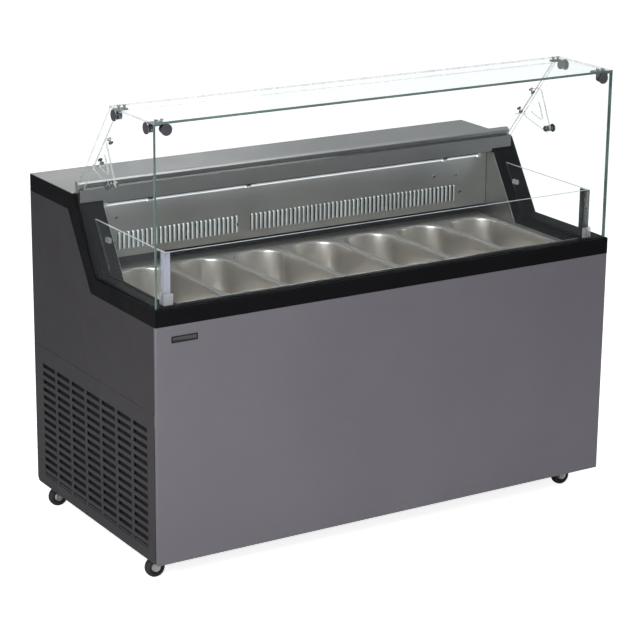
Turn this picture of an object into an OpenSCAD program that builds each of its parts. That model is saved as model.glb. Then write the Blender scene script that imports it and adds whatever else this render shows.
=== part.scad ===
// Ice cream dipping cabinet: seven pans in a cooled well behind a glass case,
// with a stainless worktop and a tilting clear flap at the rear, on four casters.
// Millimetres. Origin: floor level, middle of the plan. +X right, +Y rear, +Z up.

/* [Body] */
// Width over the side skins
body_w = 1330; // [1326:1:1380]
// Depth over the front and rear skins
body_d = 668; // [660:1:690]
// Height of the lower edge of the body above the floor
ground_gap = 61; // [60:1:64]
// Height of the front skin
front_h = 595; // [570:1:640]
// Height of the lower, louvred covers
cover_h = 380; // [370:1:400]
// Thickness of the sheet metal skins
skin_t = 1.5; // [1:0.5:2]
// Radius of the vertical folds of the front skin
fold_r = 3; // [3:0.5:4]
// Radius of the lower rear corners of the louvred covers
cover_corner_r = 10; // [6:1:12]
// Thickness of the floor of the insulated tub
tub_floor = 63; // [50:1:70]

/* [Black trim] */
// Height of the trim band
trim_t = 42; // [34:1:46]
// Width of the side cheeks, from the skin to the well
cheek_w = 75.5; // [74:0.5:78]
// Width of the front bar, from the skin to the well
front_bar_w = 41; // [38:1:44]
// Distance from the front skin to the foot of the slanted posts
post_foot = 311; // [300:1:315]
// Horizontal run of the slanted posts
post_run = 119; // [110:1:122]
// Rise from the front deck to the rear worktop
rear_rise = 188; // [180:1:196]
// Radius of the hollow cove along the well
cove_r = 22; // [16:1:24]

/* [Pans] */
// Number of pans side by side
pan_n = 7; // [7:1:7]
// Distance between pan centres
pan_pitch = 166.5; // [166:0.5:167]
// Width of a pan over its flange
pan_w = 165; // [160:1:165]
// Length of a pan over its flange
pan_l = 360; // [350:1:360]
// Depth of a pan
pan_h = 120; // [100:5:150]
// Corner radius of the flange
pan_r = 45; // [30:1:50]
// Width of the flange
pan_flange = 7; // [6:0.5:7]
// Thickness of the pan sheet
pan_t = 1.2; // [0.8:0.1:1.5]
// Distance of the flange below the front deck
pan_drop = 24; // [20:1:26]

/* [Glass case] */
// Height of the case above the front deck
case_h = 441; // [430:1:460]
// Thickness of the panes
glass_t = 6; // [5:0.5:6]
// Inset of the panes from the skins
glass_inset = 6; // [6:0.5:7]
// Distance from the front skin to the rear edge of the top pane
top_pane_d = 230; // [225:1:235]
// Height of the low inner shield
shield_h = 126; // [110:1:130]
// Inset of the shield from the side skins
shield_inset = 42; // [40:1:44]
// Thickness of the shield
shield_t = 6; // [5:0.5:6]

/* [Rear flap] */
// Thickness of the flap
flap_t = 5; // [4:0.5:5]
// Half of the width of the flap
flap_half_w = 638; // [630:1:638]
// Thickness of the brackets
bracket_t = 5; // [4:0.5:5]

/* [Louvres] */
// Columns of louvre slots
louvre_cols = 7; // [5:1:7]
// Rows of louvre slots
louvre_rows = 15; // [10:1:15]
// Length of one slot
louvre_len = 72; // [50:1:76]
// Height of one slot
louvre_h = 11; // [8:0.5:12]
// Distance between columns
louvre_pitch_y = 83.5; // [80:0.5:84]
// Distance between rows
louvre_pitch_z = 21.2; // [18:0.1:21.5]
// Margin below the lowest row
louvre_base = 28; // [20:1:30]

/* [Air panel] */
// Length of a slot
air_slot_h = 44; // [30:1:50]
// Width of a slot
air_slot_w = 6.5; // [4:0.5:8]
// Distance between slots
air_pitch = 12.9; // [12:0.1:14]

/* [Casters] */
// Wheel radius
wheel_r = 25; // [22:0.5:25]
// Wheel width
wheel_w = 20; // [16:0.5:20]
// Distance from the swivel axis to the axle
trail = 14; // [10:1:16]

/* [Hidden] */
$fn = 48;
slack = 0.3;          // gap between pieces that move past each other
pin_fit = 0.05;       // radial clearance of a running pin

hw = body_w / 2;
hd = body_d / 2;
deck_z = ground_gap + front_h + trim_t;
sheet_t = 2;
top_z = deck_z + rear_rise;
trim_top = top_z - sheet_t;
seam_z = ground_gap + cover_h;
seam_gap = 1;
return_y = -hd + 8;
case_z = deck_z + case_h;
badge_t = 1;

// Side profile: slanted posts lean back from the deck to the worktop
foot_y = post_foot - hd;
knee_y = foot_y + post_run * (trim_top - deck_z) / rear_rise;
lean = atan(post_run / rear_rise);
miter = trim_t * tan((90 - lean) / 2);
cove_z = deck_z + 2;
function post_y(z) = foot_y + (z - deck_z) * post_run / rear_rise;

// Well and foam tub
liner_t = 1.5;
well_hw = hw - cheek_w - liner_t;
well_front = front_bar_w + liner_t - hd;
well_rear = hd - 54;
tub_z = ground_gap + 344;
well_z = tub_z + tub_floor;

// Pans
rim_z = deck_z - pan_drop;
pan_y0 = well_front + 28.5;
pan_y = pan_y0 + pan_l / 2;
pan_y1 = pan_y0 + pan_l;
pan_body_w = pan_w - 2 * pan_flange;
pan_body_l = pan_l - 2 * pan_flange;
rack_gap = 1.75;
rack_h = 4;
rack_z = rim_z - pan_t - slack - rack_h;

// Slotted air panel and the space behind it
air_y = pan_y1 + 7;
air_z0 = deck_z + 6;
air_z1 = deck_z + 152;
air_slot_z = deck_z + 26;
air_groups = [[-534, 27], [-153, 50]];
air_screws = [[-540, 109], [-548, 44], [-197, 47], [413, 101], [486, 98], [500, 49]];

// Worktop lip and fascia
fascia_y = post_y(top_z) - 17;
ledge_z = top_z + 7;
lip_y = fascia_y + 10;
lip_d = 16;
lip_h = 26;
front_trim_hw = hw - 15;
fascia_z = deck_z + 156;

// Light strip
led_y = fascia_y + 15;
led_z = fascia_z - 9;
led_r = 4.5;
led_x = [-580, 556];

// Glass case
pane_x = hw - glass_inset;
pane_y = -hd + 6;
top_pane_z = case_z - glass_t;
top_pane_rear = -hd + top_pane_d;
clamp_z = case_z - 19;
clamp_plate_t = 4;
clamp_side_y = [pane_y + 37, top_pane_rear - 26];
clamp_top_y = [pane_y + 23, top_pane_rear - 17];
clamp_front_x = hw - 37;
clamp_top_x = hw - 30;
clamp_screw_gap = 15;
disc_r = 14;
disc_t = 3;
clamp_pin_r = 4.5;
clamp_hole_r = 5;
screw_r = 2.5;
screw_hole_r = 2.8;
screw_head_r = 4.5;
screw_head_h = 2;

// Rear flap: rests on the ledge in front of the lip, leans forward under the top pane
flap_foot = [fascia_y + 0.5, ledge_z + slack];
flap_top = [top_pane_rear - 3, top_pane_z - 12];
flap_len = norm(flap_top - flap_foot);
flap_tilt = atan2(flap_top[1] - flap_foot[1], flap_top[0] - flap_foot[0]);
pivot = [top_pane_rear + 16, case_z - 196];
pivot_r = 4;
pivot_arm = pivot - flap_foot;
pivot_rel = [pivot_arm * [cos(flap_tilt), sin(flap_tilt)], pivot_arm * [-sin(flap_tilt), cos(flap_tilt)]];
bracket_x = hw - 19;
bracket_inner_x = bracket_x - 34;
bracket_corner_r = 11;
bracket_hole_r = 4;
bracket_span = 41;
bracket_mid = 146;
bracket_flange_t = 4;
flap_screw_s = [bracket_mid - 38, bracket_mid + 40];
flap_screw_x = bracket_inner_x + 13;

// Casters
caster_x = hw - 47;
caster_y = [-hd + 80, hd - 48];
tray_z = ground_gap + 32;
tray_t = 2;
swivel_pin_r = 5;
fork_top = tray_z - 8 - slack;
axle_r = 4;
leg_t = 2.5;
leg_gap = wheel_w / 2 + 1.5;

// Machine compartment
comp = [-300, 60];
comp_r = 65;
comp_mid_h = 70;
comp_z = tray_z + tray_t + 14;
comp_stub_z = comp_z + comp_mid_h + 62;
suction_r = 5;
discharge_r = 4;
liquid_r = 3.2;
cond_x = [-hw + 22, -hw + 64];
cond_y = [-200, 120];
cond_z = [tray_z + tray_t, tray_z + 290];
cond_rows = 7;
cond_row_h = (cond_z[1] - cond_z[0]) / cond_rows;
cond_row_z = [cond_z[0] + cond_row_h / 2, cond_z[1] - cond_row_h / 2];
cond_tube_x = cond_x[1] - 11;
cond_stub_y = [cond_y[0] - 18, cond_y[1] + 18];
cond_fan = [cond_x[1] + 32, -40, 245];
cond_fan_r = 112;
evap_fan_x = [-280, 280];
evap_fan_r = 56;
evap_fan_y = air_y + 60;
evap_fan_z = deck_z + 72;
evap_coil_x = 520;
evap_coil_y = [air_y + 14, air_y + 120];
evap_coil_z = [well_z + 50, well_z + 190];
evap_tube_y = [evap_coil_y[0] + 28, evap_coil_y[1] - 28];
evap_tube_z = [evap_coil_z[0] + 24, evap_coil_z[0] + 70, evap_coil_z[0] + 116];
evap_stub_x = -evap_coil_x - 22;
riser_x = -558;
riser_hole_r = 8;
box_x = 420;
box_size = [128, 38, 58];
box_z = tub_z - 62;
switch_x = box_x + 98;
switch_y = hd - 8;
switch_z = box_z + box_size[2] / 2;
switch_pin_r = 1.5;
switch_tilt = 8;
inlet_x = -560;
inlet_z = ground_gap + 72;
inlet_size = [28, 22, 20];

// ---------- helpers ----------

// Box between two corners
module slab(x, y, z) {
    translate([x[0], y[0], z[0]]) cube([x[1] - x[0], y[1] - y[0], z[1] - z[0]]);
}

// Outline in the side view (y, z), extruded from x0 to x1
module side_extrude(x0, x1, outline) {
    translate([x0, 0, 0]) rotate([90, 0, 90]) linear_extrude(x1 - x0) polygon(outline);
}

// Outline in the front view (x, z), extruded from y0 to y1
module front_extrude(y0, y1, outline) {
    translate([0, y1, 0]) rotate([90, 0, 0]) linear_extrude(y1 - y0) polygon(outline);
}

module rod_x(x0, x1, y, z, r) {
    translate([x0, y, z]) rotate([0, 90, 0]) cylinder(h = x1 - x0, r = r);
}

module rod_y(y0, y1, x, z, r) {
    translate([x, y0, z]) rotate([-90, 0, 0]) cylinder(h = y1 - y0, r = r);
}

module rod_z(z0, z1, x, y, r) {
    translate([x, y, z0]) cylinder(h = z1 - z0, r = r);
}

// The piece and its mirror image on the other side
module both_sides() {
    children();
    mirror([1, 0, 0]) children();
}

// Flat slab with round vertical corners, centred on the origin
module round_slab(w, l, r, z0, z1) {
    slab([r - w / 2, w / 2 - r], [-l / 2, l / 2], [z0, z1]);
    slab([-w / 2, w / 2], [r - l / 2, l / 2 - r], [z0, z1]);
    for (sx = [-1, 1], sy = [-1, 1])
        rod_z(z0, z1, sx * (w / 2 - r), sy * (l / 2 - r), r);
}

// Lower edge of the trim in the side view, from front to rear
function under_trim(y_front, y_rear) = [
    [y_front, deck_z - trim_t], [foot_y + miter, deck_z - trim_t],
    [knee_y + miter, trim_top - trim_t], [y_rear, trim_top - trim_t]];

// ---------- chassis ----------

// Floor tray with a skirt, two channel rails and a plate over each caster
module base_frame() {
    x_out = hw - skin_t;
    y_out = hd - skin_t;
    rail_z = ground_gap + 7;
    color("dimgray") difference() {
        union() {
            slab([-x_out, x_out], [-y_out, y_out], [tray_z, tray_z + tray_t]);
            difference() {
                slab([-x_out, x_out], [-y_out, y_out], [ground_gap + 2, tray_z]);
                slab([tray_t - x_out, x_out - tray_t], [tray_t - y_out, y_out - tray_t],
                    [ground_gap + 1, tray_z]);
                slab([-hw, hw], [y_out - tray_t - 1, hd], [ground_gap + 1, ground_gap + cover_corner_r]);
            }
            for (x = [-300, 300]) difference() {
                slab([x - 20, x + 20], [tray_t - y_out, y_out - tray_t], [rail_z, tray_z]);
                slab([x - 18, x + 18], [-y_out, y_out], [rail_z - 1, tray_z - tray_t]);
            }
            for (sx = [-1, 1], y = caster_y)
                translate([sx * caster_x, y, 0]) slab([-38, 38], [-38, 38], [tray_z - 8, tray_z]);
        }
        for (sx = [-1, 1], y = caster_y)
            rod_z(tray_z - 9, tray_z + tray_t + 1, sx * caster_x, y, swivel_pin_r + pin_fit);
    }
}

module frame_uprights() {
    leg = 30;
    wall = 3;
    color("dimgray") for (sx = [-1, 1], sy = [-1, 1])
        scale([sx, sy, 1]) translate([hw - skin_t - leg, hd - skin_t - leg, tray_z + tray_t]) {
            slab([leg - wall, leg], [0, leg], [0, tub_z - tray_z - tray_t]);
            slab([0, leg - wall], [leg - wall, leg], [0, tub_z - tray_z - tray_t]);
        }
}

// ---------- skins ----------

// Front sheet folded back round both sides
module front_panel() {
    z = [ground_gap, deck_z - trim_t];
    color([0.42, 0.41, 0.44]) difference() {
        union() {
            slab([-hw + fold_r, hw - fold_r], [-hd, return_y], z);
            both_sides() {
                slab([-hw, -hw + fold_r], [-hd + fold_r, return_y], z);
                rod_z(z[0], z[1], -hw + fold_r, -hd + fold_r, fold_r);
            }
        }
        slab([-hw + skin_t, hw - skin_t], [-hd + skin_t, hd], [z[0] - 1, z[1] + 1]);
    }
}

module side_skin() {
    color([0.27, 0.27, 0.28]) side_extrude(-hw, -hw + skin_t, concat(
        [[hd - skin_t, seam_z + seam_gap], [return_y, seam_z + seam_gap]],
        under_trim(return_y, hd - skin_t)));
}

// Grid of slots in the side view, around y = 0
module louvre_slots(cols) {
    for (c = [0 : cols - 1], r = [0 : louvre_rows - 1])
        translate([0, (c - (cols - 1) / 2) * louvre_pitch_y, ground_gap + louvre_base + r * louvre_pitch_z])
            slab([-1, 1], [-louvre_len / 2, louvre_len / 2], [0, louvre_h]);
}

module louvre_cover() {
    rear = hd - skin_t;
    r = cover_corner_r;
    color([0.27, 0.27, 0.28]) difference() {
        union() {
            slab([-hw, -hw + skin_t], [return_y + 3, rear], [ground_gap + r, seam_z]);
            slab([-hw, -hw + skin_t], [return_y + 3, rear - r], [ground_gap, ground_gap + r]);
            rod_x(-hw, -hw + skin_t, rear - r, ground_gap + r, r);
        }
        translate([-hw + skin_t / 2, 0, 0]) louvre_slots(louvre_cols);
    }
}

module left_side_panel() side_skin();

module left_louvre_panel() louvre_cover();

module right_side_panel() mirror([1, 0, 0]) side_skin();

module right_louvre_panel() mirror([1, 0, 0]) louvre_cover();

module rear_panel() {
    color([0.27, 0.27, 0.28]) slab([-hw, hw], [hd - skin_t, hd], [seam_z + seam_gap, trim_top]);
}

module rear_grille() {
    color([0.27, 0.27, 0.28]) difference() {
        slab([-hw, hw], [hd - skin_t, hd], [ground_gap + cover_corner_r, seam_z]);
        translate([-60, hd - skin_t / 2, 0]) rotate([0, 0, 90]) louvre_slots(louvre_cols);
        slab([box_x, box_x + box_size[0]], [hd - 5, hd + 1], [box_z, box_z + box_size[2]]);
        slab([inlet_x, inlet_x + inlet_size[0]], [hd - 5, hd + 1], [inlet_z, inlet_z + inlet_size[2]]);
    }
}

module badge() {
    color([0.08, 0.08, 0.09]) translate([-hw + 42, 0, deck_z - trim_t - 42])
        slab([0, 70], [-hd - badge_t, -hd], [0, 16]);
}

// ---------- black trim ----------

module trim_front() {
    color([0.09, 0.09, 0.1]) difference() {
        slab([-hw, hw], [-hd, -hd + front_bar_w], [deck_z - trim_t, deck_z]);
        rod_x(-hw + cheek_w, hw - cheek_w, -hd + front_bar_w, deck_z + 4, 10);
    }
}

module cheek() {
    color([0.09, 0.09, 0.1]) difference() {
        side_extrude(-hw, -hw + cheek_w, [
            [-hd + front_bar_w, deck_z], [foot_y, deck_z], [knee_y, trim_top], [hd - skin_t, trim_top],
            [hd - skin_t, trim_top - trim_t], [knee_y + miter, trim_top - trim_t],
            [foot_y + miter, deck_z - trim_t], [-hd + front_bar_w, deck_z - trim_t]]);
        translate([-hw + cheek_w, 0, cove_z]) {
            rod_y(-hd + front_bar_w - 1, foot_y - cove_r, 0, 0, cove_r);
            translate([0, foot_y - cove_r, 0]) sphere(r = cove_r);
        }
    }
}

module trim_left() cheek();

module trim_right() mirror([1, 0, 0]) cheek();

// ---------- cold well ----------

module insulation() {
    inner = well_hw + liner_t;
    color("khaki") difference() {
        union() {
            side_extrude(-hw + skin_t, hw - skin_t, concat(
                [[hd - skin_t, tub_z], [-hd + skin_t, tub_z]],
                under_trim(-hd + skin_t, hd - skin_t)));
            slab([-inner, inner], [well_rear + liner_t, hd - skin_t], [trim_top - trim_t - 1, trim_top]);
            slab([-inner, inner], [air_y + 2, hd - skin_t], [air_z1 + liner_t, trim_top]);
        }
        slab([-inner, inner], [well_front - liner_t, air_y + 2], [well_z - liner_t, top_z]);
        slab([-inner, inner], [air_y + 1, well_rear + liner_t], [well_z - liner_t, air_z1 + liner_t]);
        for (y = evap_tube_y) rod_z(tub_z - 1, well_z, riser_x, y, riser_hole_r);
    }
}

// Stainless lining of the well, one sheet to each side
module well_floor() {
    color([0.6, 0.6, 0.58]) difference() {
        slab([-well_hw, well_hw], [well_front, well_rear], [well_z - liner_t, well_z]);
        for (y = evap_tube_y) rod_z(tub_z, well_z + 1, riser_x, y, riser_hole_r);
    }
}

module well_front_wall() {
    color([0.6, 0.6, 0.58])
        slab([-well_hw, well_hw], [well_front - liner_t, well_front], [well_z - liner_t, rim_z + 4]);
}

module well_rear_wall() {
    color([0.6, 0.6, 0.58])
        slab([-well_hw, well_hw], [well_rear, well_rear + liner_t], [well_z - liner_t, air_z1]);
}

// Top of the air duct behind the slotted panel
module duct_top() {
    color([0.6, 0.6, 0.58])
        slab([-well_hw, well_hw], [air_y + 2, well_rear + liner_t], [air_z1, air_z1 + liner_t]);
}

// End sheet that rises along the slanted post
module well_end() {
    wall_z = cove_z - cove_r + 1;
    duct_z = air_z1 + liner_t;
    color([0.6, 0.6, 0.58]) side_extrude(-well_hw - liner_t, -well_hw, [
        [well_front - liner_t, well_z - liner_t], [well_rear + liner_t, well_z - liner_t],
        [well_rear + liner_t, duct_z], [post_y(duct_z) + 1, duct_z], [post_y(wall_z) + 1, wall_z],
        [well_front - liner_t, wall_z]]);
}

module well_end_left() well_end();

module well_end_right() mirror([1, 0, 0]) well_end();

// Bars that carry the pans by their flanges, with a shelf that closes the rear gap
module pan_rack() {
    hole_w = pan_body_w + 2 * rack_gap;
    hole_l = pan_body_l + 2 * rack_gap;
    color([0.35, 0.35, 0.35]) difference() {
        slab([-well_hw, well_hw], [well_front, air_y + 40], [rack_z, rack_z + rack_h]);
        for (k = [0 : pan_n - 1])
            translate([(k - (pan_n - 1) / 2) * pan_pitch, pan_y, 0])
                slab([-hole_w / 2, hole_w / 2], [-hole_l / 2, hole_l / 2],
                    [rack_z - 1, rack_z + rack_h + 1]);
    }
}

module pan(k) {
    r_in = pan_r - pan_flange;
    color([0.72, 0.69, 0.65]) translate([(k - (pan_n + 1) / 2) * pan_pitch, pan_y, 0]) difference() {
        union() {
            round_slab(pan_w, pan_l, pan_r, rim_z - pan_t, rim_z);
            round_slab(pan_body_w, pan_body_l, r_in, rim_z - pan_h, rim_z - pan_t / 2);
        }
        round_slab(pan_body_w - 2 * pan_t, pan_body_l - 2 * pan_t, r_in - pan_t,
            rim_z - pan_h + pan_t, rim_z + 1);
    }
}

module pan_1() pan(1);

module pan_2() pan(2);

module pan_3() pan(3);

module pan_4() pan(4);

module pan_5() pan(5);

module pan_6() pan(6);

module pan_7() pan(7);

module air_panel() {
    color([0.45, 0.45, 0.44]) difference() {
        slab([-well_hw, well_hw], [air_y, air_y + liner_t], [air_z0, air_z1]);
        for (g = air_groups, k = [0 : g[1] - 1])
            translate([g[0] + k * air_pitch, 0, 0])
                slab([-air_slot_w / 2, air_slot_w / 2], [air_y - 1, air_y + 3],
                    [air_slot_z, air_slot_z + air_slot_h]);
    }
}

module evaporator_coil() {
    fins = 41;
    fin_t = 1;
    color("silver") {
        for (k = [0 : fins - 1])
            translate([(k / (fins - 1) * 2 - 1) * evap_coil_x, 0, 0])
                slab([-fin_t / 2, fin_t / 2], evap_coil_y, evap_coil_z);
        for (y = evap_tube_y, z = evap_tube_z) rod_x(-evap_coil_x - 12, evap_coil_x + 12, y, z, 5);
        for (z = evap_tube_z, x = [-evap_coil_x - 12, evap_coil_x + 12])
            rod_y(evap_tube_y[0] - 5, evap_tube_y[1] + 5, x, z, 5);
        for (x = [-evap_coil_x, evap_coil_x], y = evap_tube_y)
            slab([x - 2, x + 2], [y - 6, y + 6], [well_z, evap_coil_z[0] + 5]);
        rod_x(evap_stub_x, -evap_coil_x, evap_tube_y[0], evap_tube_z[0], suction_r);
        rod_x(evap_stub_x, -evap_coil_x, evap_tube_y[1], evap_tube_z[2], suction_r);
    }
}

// Plate with two round openings, and a motor on three struts behind each
module evaporator_fan_shroud() {
    plate_y = evap_fan_y - 16;
    motor_y = evap_fan_y + 14;
    color([0.3, 0.3, 0.32]) {
        difference() {
            slab([-well_hw, well_hw], [plate_y, plate_y + 2], [rack_z + rack_h, air_z1]);
            for (x = evap_fan_x) rod_y(plate_y - 1, plate_y + 3, x, evap_fan_z, evap_fan_r + 6);
        }
        for (x = evap_fan_x) {
            rod_y(motor_y, motor_y + 34, x, evap_fan_z, 24);
            rod_y(evap_fan_y - 12, motor_y + 1, x, evap_fan_z, 3);
            for (a = [90, 210, 330])
                translate([x, 0, evap_fan_z]) rotate([0, a, 0]) {
                    slab([0, evap_fan_r + 12], [motor_y + 6, motor_y + 12], [-4, 4]);
                    slab([evap_fan_r + 7, evap_fan_r + 12], [plate_y, motor_y + 12], [-4, 4]);
                }
        }
    }
}

// Rotor around the origin, axis along +Z
module fan_rotor(r, hub_r, depth, blades, shaft_r) {
    difference() {
        union() {
            translate([0, 0, -depth / 2]) cylinder(h = depth, r = hub_r);
            for (k = [0 : blades - 1])
                rotate([0, 0, k * 360 / blades]) translate([hub_r - 3, 0, 0]) rotate([28, 0, 0])
                    slab([0, r - hub_r], [-depth * 0.8, depth * 0.8], [-0.8, 0.8]);
        }
        translate([0, 0, -depth]) cylinder(h = 2 * depth, r = shaft_r + pin_fit);
    }
}

module evaporator_fan(k) {
    color([0.15, 0.15, 0.16]) translate([evap_fan_x[k], evap_fan_y, evap_fan_z]) rotate([-90, 0, 0])
        fan_rotor(evap_fan_r, 16, 16, 5, 3);
}

module evaporator_fan_left() evaporator_fan(0);

module evaporator_fan_right() evaporator_fan(1);

// ---------- worktop ----------

module worktop() {
    color([0.7, 0.7, 0.69]) {
        slab([-hw + 1, hw - 1], [knee_y + 1, hd], [trim_top, top_z]);
        slab([-front_trim_hw, front_trim_hw], [lip_y, knee_y + 1], [trim_top, top_z]);
        side_extrude(-front_trim_hw, front_trim_hw, [
            [lip_y, top_z - 1], [lip_y + lip_d, top_z - 1], [lip_y + lip_d, top_z + lip_h],
            [lip_y + 8, top_z + lip_h], [lip_y + 3, top_z + lip_h - 2], [lip_y, top_z + lip_h - 6]]);
    }
}

// Front sheet that drops below the lip, with a ledge on top and a return below
module fascia() {
    side_z = deck_z + (fascia_y + liner_t - foot_y) * rear_rise / post_run + slack;
    color([0.4, 0.4, 0.4]) {
        front_extrude(fascia_y, fascia_y + liner_t, [
            [-front_trim_hw, ledge_z], [-front_trim_hw, side_z], [-well_hw + 1, side_z],
            [-well_hw + 1, fascia_z], [well_hw - 1, fascia_z], [well_hw - 1, side_z],
            [front_trim_hw, side_z], [front_trim_hw, ledge_z]]);
        slab([-front_trim_hw, front_trim_hw], [fascia_y, lip_y], [ledge_z - liner_t, ledge_z]);
        slab([-well_hw + 1, well_hw - 1], [fascia_y, air_y + liner_t], [fascia_z, fascia_z + liner_t]);
    }
}

module led_light() {
    color([0.95, 0.96, 1]) {
        rod_x(led_x[0], led_x[1], led_y, led_z, led_r);
        slab(led_x, [led_y - 5, led_y + 5], [led_z, fascia_z]);
    }
}

// ---------- glass case ----------

function side_pane_outline() = [
    [pane_y + glass_t, deck_z], [foot_y, deck_z], [knee_y, trim_top],
    [top_pane_rear, top_pane_z], [pane_y + glass_t, top_pane_z]];

module side_pane() {
    color([0.75, 0.9, 0.85, 0.35]) difference() {
        side_extrude(-pane_x, -pane_x + glass_t, side_pane_outline());
        for (y = clamp_side_y) rod_x(-hw, -pane_x + glass_t + 1, y, clamp_z, clamp_hole_r);
        rod_x(-hw, -pane_x + glass_t + 1, pivot[0], pivot[1], clamp_hole_r);
    }
}

module glass_left() side_pane();

module glass_right() mirror([1, 0, 0]) side_pane();

module glass_front() {
    color([0.75, 0.9, 0.85, 0.35]) difference() {
        slab([-pane_x, pane_x], [pane_y, pane_y + glass_t], [deck_z, top_pane_z]);
        both_sides() rod_y(pane_y - 1, pane_y + glass_t + 1, clamp_front_x, clamp_z, clamp_hole_r);
    }
}

module glass_top() {
    color([0.75, 0.9, 0.85, 0.35]) difference() {
        slab([-pane_x, pane_x], [pane_y, top_pane_rear], [top_pane_z, case_z]);
        both_sides() for (y = clamp_top_y, s = [-1, 1])
            rod_z(top_pane_z - 1, case_z + 1, clamp_top_x + s * clamp_screw_gap / 2, y, screw_hole_r);
    }
}

// Disc outside a pane, pin through it and boss inside, axis along +Z from the outer face
module pane_clamp(inner) {
    translate([0, 0, -disc_t]) cylinder(h = disc_t, r = disc_r);
    translate([0, 0, -disc_t]) cylinder(h = disc_t + glass_t + inner, r = clamp_pin_r);
    translate([0, 0, glass_t]) cylinder(h = inner, r = disc_r - 3);
}

module glass_clamps() {
    inner_x = pane_x - glass_t;
    block_x = [clamp_top_x - 13, inner_x];
    block_z = [top_pane_z - clamp_plate_t, top_pane_z];
    color([0.35, 0.36, 0.38]) both_sides() {
        slab(block_x, [pane_y + glass_t, clamp_side_y[0] + 8], block_z);
        slab([inner_x - 10, inner_x], [clamp_side_y[1] - 9, clamp_top_y[1] + 9], block_z);
        slab(block_x, [clamp_top_y[1] - 9, clamp_top_y[1] + 9], block_z);
        for (y = clamp_side_y) translate([pane_x, y, clamp_z]) rotate([0, -90, 0]) pane_clamp(10);
        translate([clamp_front_x, pane_y, clamp_z]) rotate([-90, 0, 0]) pane_clamp(10);
    }
}

module screws() {
    color([0.6, 0.6, 0.62]) {
        both_sides() for (y = clamp_top_y, s = [-1, 1])
            translate([clamp_top_x + s * clamp_screw_gap / 2, y, 0]) {
                rod_z(case_z, case_z + screw_head_h, 0, 0, screw_head_r);
                rod_z(top_pane_z, case_z + 1, 0, 0, screw_r);
            }
        for (p = air_screws) rod_y(air_y - screw_head_h, air_y, p[0], deck_z + p[1], screw_head_r);
        both_sides() for (x = [200, hw - 14], z = [ground_gap + 12, seam_z - 12])
            rod_y(hd, hd + badge_t, x, z, screw_head_r);
    }
}

module shield_front() {
    x = hw - shield_inset;
    y = pane_y + 25;
    color([0.9, 0.95, 0.95, 0.35]) slab([-x, x], [y, y + shield_t], [deck_z, deck_z + shield_h]);
}

module shield_sides() {
    x = hw - shield_inset;
    y = pane_y + 25 + shield_t;
    color([0.9, 0.95, 0.95, 0.35]) both_sides() side_extrude(x - shield_t, x, [
        [y, deck_z], [foot_y, deck_z], [post_y(deck_z + shield_h), deck_z + shield_h],
        [y, deck_z + shield_h]]);
}

// Corner feet that hold the three sheets, and a clip on each side sheet near the post
module shield_fittings() {
    x = hw - shield_inset;
    y = pane_y + 25;
    foot = 5;
    foot_h = 27;
    color([0.85, 0.87, 0.88]) both_sides() {
        slab([x - 20, x + foot], [y - foot, y], [deck_z, deck_z + foot_h]);
        slab([x, x + foot], [y, y + 20], [deck_z, deck_z + foot_h]);
        slab([x - shield_t - 8, x - shield_t], [foot_y + 16, foot_y + 36], [deck_z + 78, deck_z + 90]);
    }
}

// ---------- rear flap ----------

// Places children with +X up the flap from its foot, +Y across and +Z towards the pivot
module on_flap() {
    translate([0, flap_foot[0], flap_foot[1]]) rotate([0, 0, 90]) rotate([0, -flap_tilt, 0]) children();
}

module flap_screw_holes(depth) {
    for (s = [-1, 1], d = flap_screw_s)
        translate([d, s * flap_screw_x, 0]) cylinder(h = 2 * depth, r = screw_hole_r, center = true);
}

module rear_flap() {
    color([0.9, 0.95, 0.95, 0.35]) on_flap() difference() {
        slab([0, flap_len], [-flap_half_w, flap_half_w], [-flap_t, 0]);
        flap_screw_holes(flap_t + 1);
    }
}

// Direction that points out of the edge from a to b of an anticlockwise outline
function out_angle(a, b) = atan2(b[1] - a[1], b[0] - a[0]) - 90;

// Outline around the points, each corner an arc of radius r
function round_outline(points, r, steps = 8) = [
    for (k = [0 : len(points) - 1])
        let (p = points[k], start = out_angle(points[(k + len(points) - 1) % len(points)], p),
            turn = (out_angle(p, points[(k + 1) % len(points)]) - start + 720) % 360)
        for (j = [0 : steps]) p + r * [cos(start + turn * j / steps), sin(start + turn * j / steps)]];

// Triangle shrunk so that its sides move inwards by d
function inset_triangle(t, d) =
    let (side = [norm(t[1] - t[2]), norm(t[2] - t[0]), norm(t[0] - t[1])],
        around = side[0] + side[1] + side[2],
        middle = (side * t) / around,
        area = abs(cross(t[1] - t[0], t[2] - t[0])),
        k = 1 - d * around / area)
    [for (p = t) middle + k * (p - middle)];

// Triangular web between the pivot and the flap, with a flange screwed to the flap
module flap_bracket() {
    corners = [[bracket_mid - bracket_span, bracket_corner_r],
        [bracket_mid + bracket_span, bracket_corner_r], pivot_rel];
    opening = inset_triangle(corners, bracket_corner_r + bracket_hole_r);
    flange = bracket_span + bracket_corner_r - 1;
    translate([0, bracket_x, 0]) rotate([90, 0, 0]) difference() {
        linear_extrude(bracket_t) difference() {
            polygon(round_outline(corners, bracket_corner_r));
            polygon(round_outline(opening, bracket_hole_r));
        }
        translate([pivot_rel[0], pivot_rel[1], -1]) cylinder(h = bracket_t + 2, r = pivot_r + pin_fit);
    }
    difference() {
        slab([bracket_mid - flange, bracket_mid + flange], [bracket_inner_x, bracket_x - bracket_t],
            [0, bracket_flange_t]);
        flap_screw_holes(bracket_flange_t + 1);
    }
}

module flap_brackets() {
    color([0.9, 0.95, 0.95, 0.6]) both_sides() on_flap() flap_bracket();
}

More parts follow.
